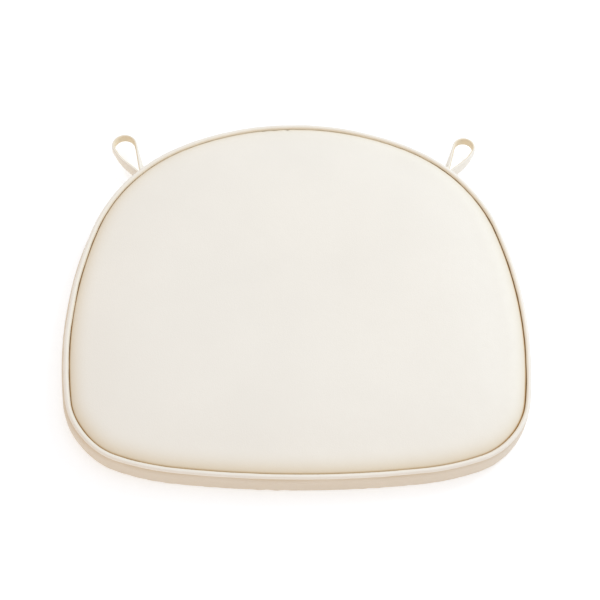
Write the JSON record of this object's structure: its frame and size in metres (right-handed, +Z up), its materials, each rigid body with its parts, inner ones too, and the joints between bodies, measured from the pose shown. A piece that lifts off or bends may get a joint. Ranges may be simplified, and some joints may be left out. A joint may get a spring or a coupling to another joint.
{
  "type": "chair seat pad",
  "caption": "D-shaped boxed seat pad with a crowned top, piped upper seam, rear zip and strap loops at the rear shoulders.",
  "frame": {"origin": "middle of the underside, on the surface the pad lies on", "axes": "+X across the width, +Y towards the rear edge with the loops, +Z up through the pad"},
  "size_m": [0.4506, 0.4038, 0.037],
  "materials": {
    "cover": "soft smooth imitation leather",
    "base": "plain woven backing with a matt grip",
    "filling": "loose polyester wadding",
    "foam": "open-cell foam",
    "zip_tape": "woven tape",
    "zip_coil": "moulded",
    "zip_metal": "nickel plated"
  },
  "bodies": {
    "pad": {"top_panel": "cover", "bottom_panel": "base", "band_front": "cover", "band_rear_upper": "cover", "band_rear_lower": "cover", "piping_cover": "cover", "piping_cord": "filling", "wadding_top": "filling", "foam_core": "foam", "wadding_bottom": "filling", "zip_tape_upper": "zip_tape", "zip_tape_lower": "zip_tape", "zip_coil_upper": "zip_coil", "zip_coil_lower": "zip_coil", "zip_stop_left": "zip_metal", "zip_stop_right": "zip_metal"},
    "slider": {"zip_slider": "zip_metal"},
    "pull": {"zip_pull": "zip_metal"},
    "loop_left": {"strap_loop_left": "cover"},
    "loop_right": {"strap_loop_right": "cover"}
  },
  "joints": [
    {"name": "zip_travel", "type": "hinge", "parent": "pad", "child": "slider", "pos_m": [0, -0.06608, 0.0135], "axis": [0, 0, 1], "range_deg": [0, 47.6]},
    {"name": "pull_swing", "type": "hinge", "parent": "slider", "child": "pull", "pos_m": [0.10904, 0.18114, 0.0135], "axis": [0, 0, -1], "range_deg": [0, 178]},
    {"name": "loop_left_flex", "type": "hinge", "parent": "pad", "child": "loop_left", "pos_m": [-0.16112, 0.14841, 0.014], "axis": [0, 0, 1], "range_deg": [-35, 35], "stiffness_Nm_per_rad": 0.01},
    {"name": "loop_right_flex", "type": "hinge", "parent": "pad", "child": "loop_right", "pos_m": [0.16112, 0.14841, 0.014], "axis": [0, 0, 1], "range_deg": [-35, 35], "stiffness_Nm_per_rad": 0.01}
  ]
}
